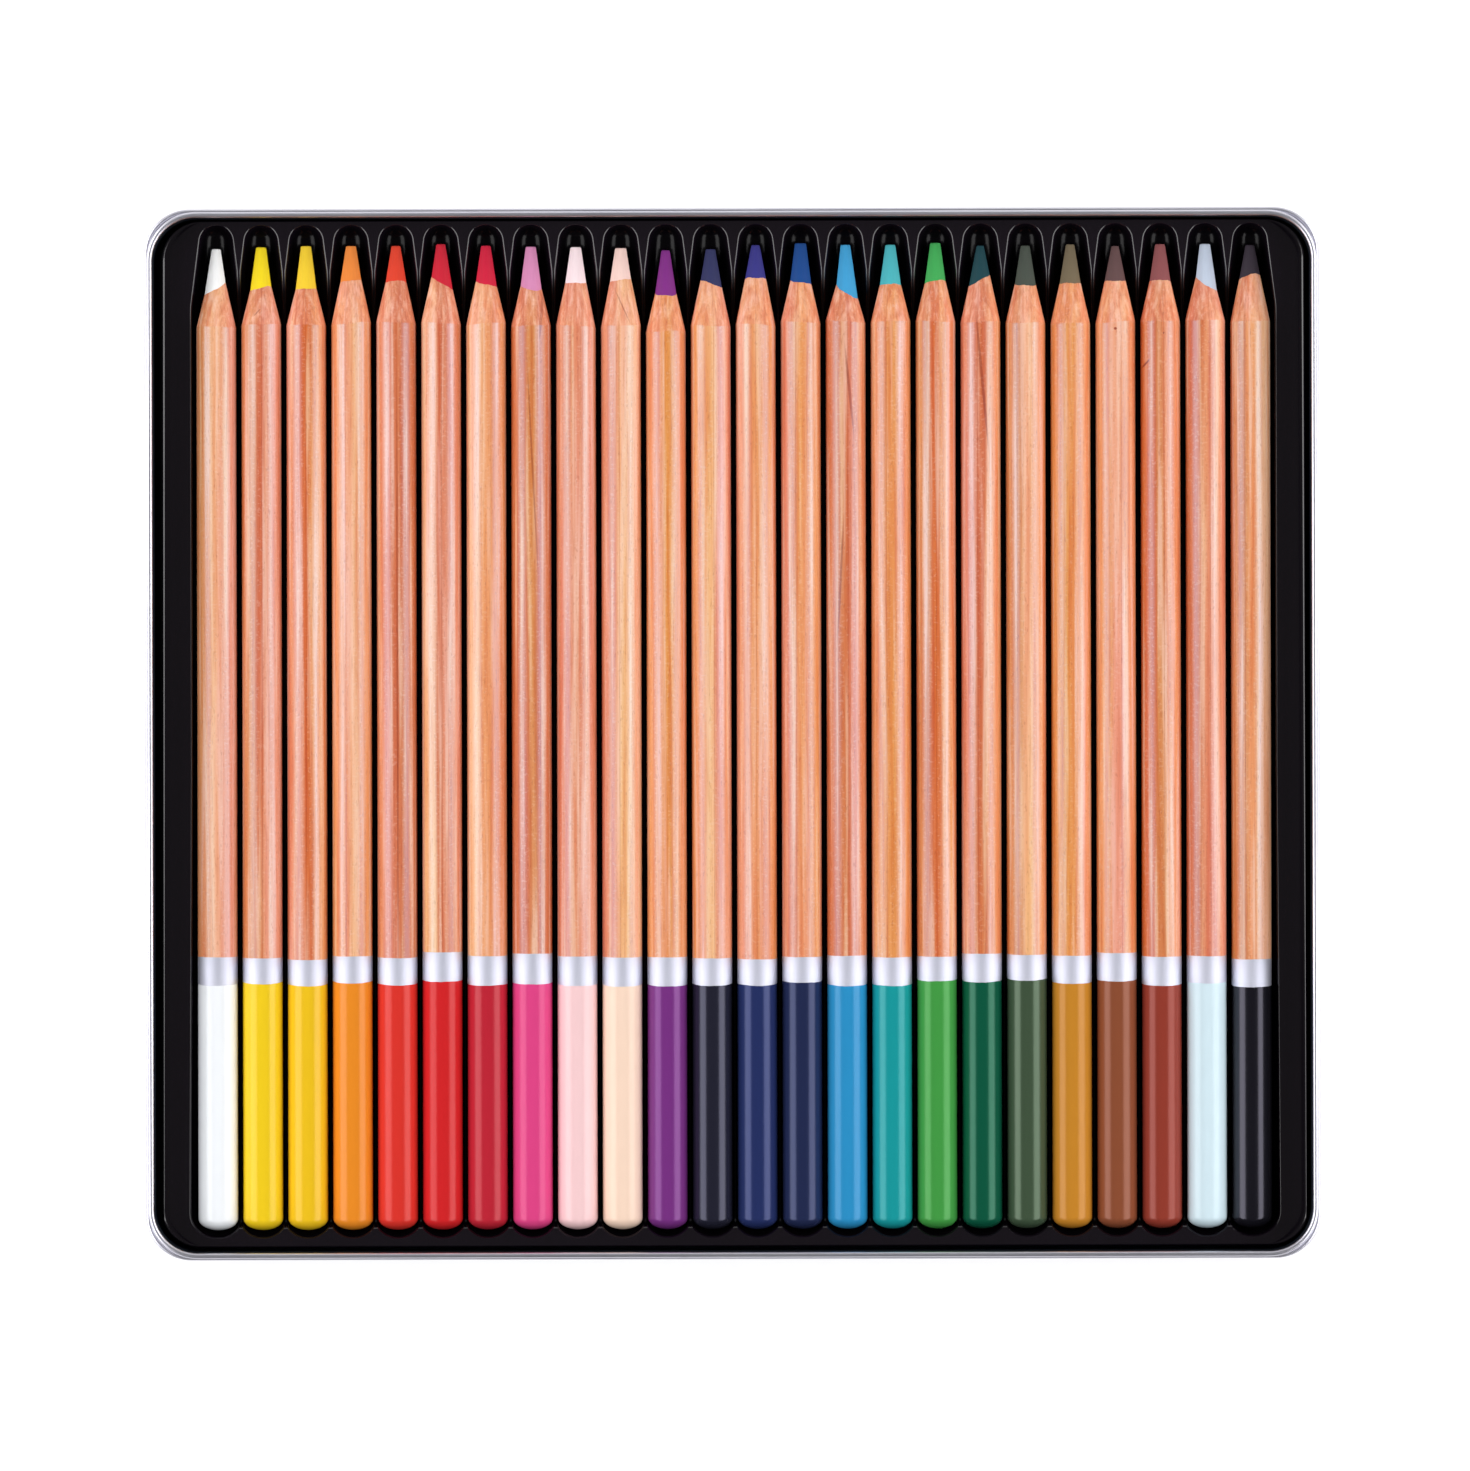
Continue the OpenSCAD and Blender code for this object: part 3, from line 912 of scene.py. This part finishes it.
def white_table():
    """White card that keeps a soft shadow and shows white to the camera and in metal."""
    finish = Finish(bpy.data.materials.new("table"))
    seen = ray_is(finish, "Camera") + ray_is(finish, "Glossy") + ray_is(finish, "Transmission")
    card = finish.node("BsdfDiffuse", {}, {"Color": (table_grey, table_grey, table_grey, 1)})
    glow = finish.node("Emission", {}, {"Color": white, "Strength": seen * table_glow})
    both = finish.node("AddShader", {}, {0: card, 1: glow})
    finish.node("OutputMaterial", {}, {"Surface": both})
    return finish.holder


corners = []
for sx, sy in ((-1, -1), (1, -1), (1, 1), (-1, 1)):
    corners.append((sx * table_size / 2, sy * table_size / 2, cad_low.z - table_drop))
table = make_piece("table", corners, [(0, 1, 2, 3)], [white_table()])

# Strengths of the room's light: all round, and near the horizon in reflections.
room_dim = 0.1
horizon = 0.32
horizon_behind = 0.3

world = bpy.data.worlds.new("studio")
bpy.context.scene.world = world
studio = Finish(world)
sky = studio.node("TexCoord", {}, {}, "Generated")
behind, up = (studio.node("SeparateXYZ", {}, {0: sky}, k) for k in (1, 2))
low_band = studio.ramp(up, [(0.0, 1), (0.12, 0.5), (0.25, 0)])
to_camera = ray_is(studio, "Camera")
to_gloss = ray_is(studio, "Glossy") + ray_is(studio, "Transmission")
glow = (horizon + horizon_behind * behind) * to_gloss * low_band
strength = to_camera + (1 - to_camera) * (room_dim + glow)
room = studio.node("Background", {}, {"Color": white, "Strength": strength})
studio.node("OutputWorld", {}, {"Surface": room})

# Softboxes: turn round the tin and lean from straight above, in degrees, then distance,
# width and length in metres, and brightness.
SOFTBOXES = {
    "softbox_high_right": (0, 48.5, 1.2, 0.4, 1.8, 3.9),
    "softbox_low_right": (0, 67.5, 1.2, 0.4, 1.8, 3.9),
    "softbox_high_left": (180, 48.5, 1.2, 0.4, 1.8, 3.9),
    "softbox_low_left": (180, 67.5, 1.2, 0.4, 1.8, 3.9),
    "softbox_points": (90, 66, 1.4, 0.45, 1.8, 1.3),
}
centre = (cad_low + cad_high) / 2


def softbox(name, turn, lean, distance, width, length, brightness):
    """An evenly lit panel that faces the tin."""
    lamp = bpy.data.lights.new(name, "AREA")
    lamp.shape = "RECTANGLE"
    lamp.size = length
    lamp.size_y = width
    lamp.energy = brightness * math.pi * width * length
    stand = bpy.data.objects.new(name, lamp)
    turn, lean = math.radians(turn), math.radians(lean)
    towards = Vector((math.cos(turn) * math.sin(lean), math.sin(turn) * math.sin(lean), math.cos(lean)))
    stand.location = centre + towards * distance
    stand.rotation_euler = towards.to_track_quat("Z", "Y").to_euler()
    bpy.context.scene.collection.objects.link(stand)


for name, values in SOFTBOXES.items():
    softbox(name, *values)

# The camera looks straight down and is turned a little clockwise. Its view is 1470
# pixels wide, with 5.545 of them to a millimetre at the height of the pencils' axes.
view_pixels = 1470
pixels_per_mm = 5.545
camera_height = 2.0
camera_turn = -0.137
camera_x = 0.45 * mm
camera_y = -0.32 * mm
view_width = view_pixels / pixels_per_mm * mm
camera = bpy.data.cameras.new("camera")
tripod = bpy.data.objects.new("camera", camera)
bpy.context.scene.collection.objects.link(tripod)
tripod.location = (camera_x, camera_y, camera_height)
tripod.rotation_euler = (0, 0, math.radians(camera_turn))
camera.lens = camera.sensor_width * (camera_height - axes[0].z) / view_width
camera.clip_start = 0.05
camera.clip_end = 30
bpy.context.scene.camera = tripod
bpy.context.scene.view_settings.view_transform = "Standard"
